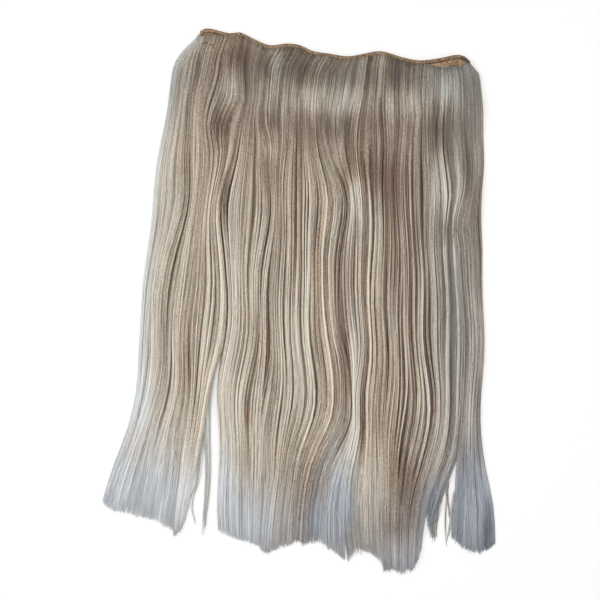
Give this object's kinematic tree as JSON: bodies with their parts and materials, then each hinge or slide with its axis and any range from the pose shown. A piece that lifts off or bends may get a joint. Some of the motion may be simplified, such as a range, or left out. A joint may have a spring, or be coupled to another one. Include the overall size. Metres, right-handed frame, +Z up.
{
  "type": "halo hair extension",
  "caption": "Long straight hair sewn in two rows to a narrow lace band with folded ends, lying flat with its tips fanned out.",
  "frame": {"origin": "on the surface it lies on, under the middle of the whole part's outline", "axes": "+Z up off the surface, +Y from the tips towards the sewn band, +X across the hair to the right"},
  "size_m": [0.3936, 0.5422, 0.0101],
  "materials": {
    "lace": "matte",
    "thread": "matte",
    "cool_hair": "satin",
    "fair_hair": "satin"
  },
  "bodies": {
    "root": {"lace_band": "lace", "weft_seam": "thread", "end_fold_left": "lace", "end_fold_right": "lace", "under_row": "cool_hair", "top_row": "fair_hair"}
  },
  "joints": []
}
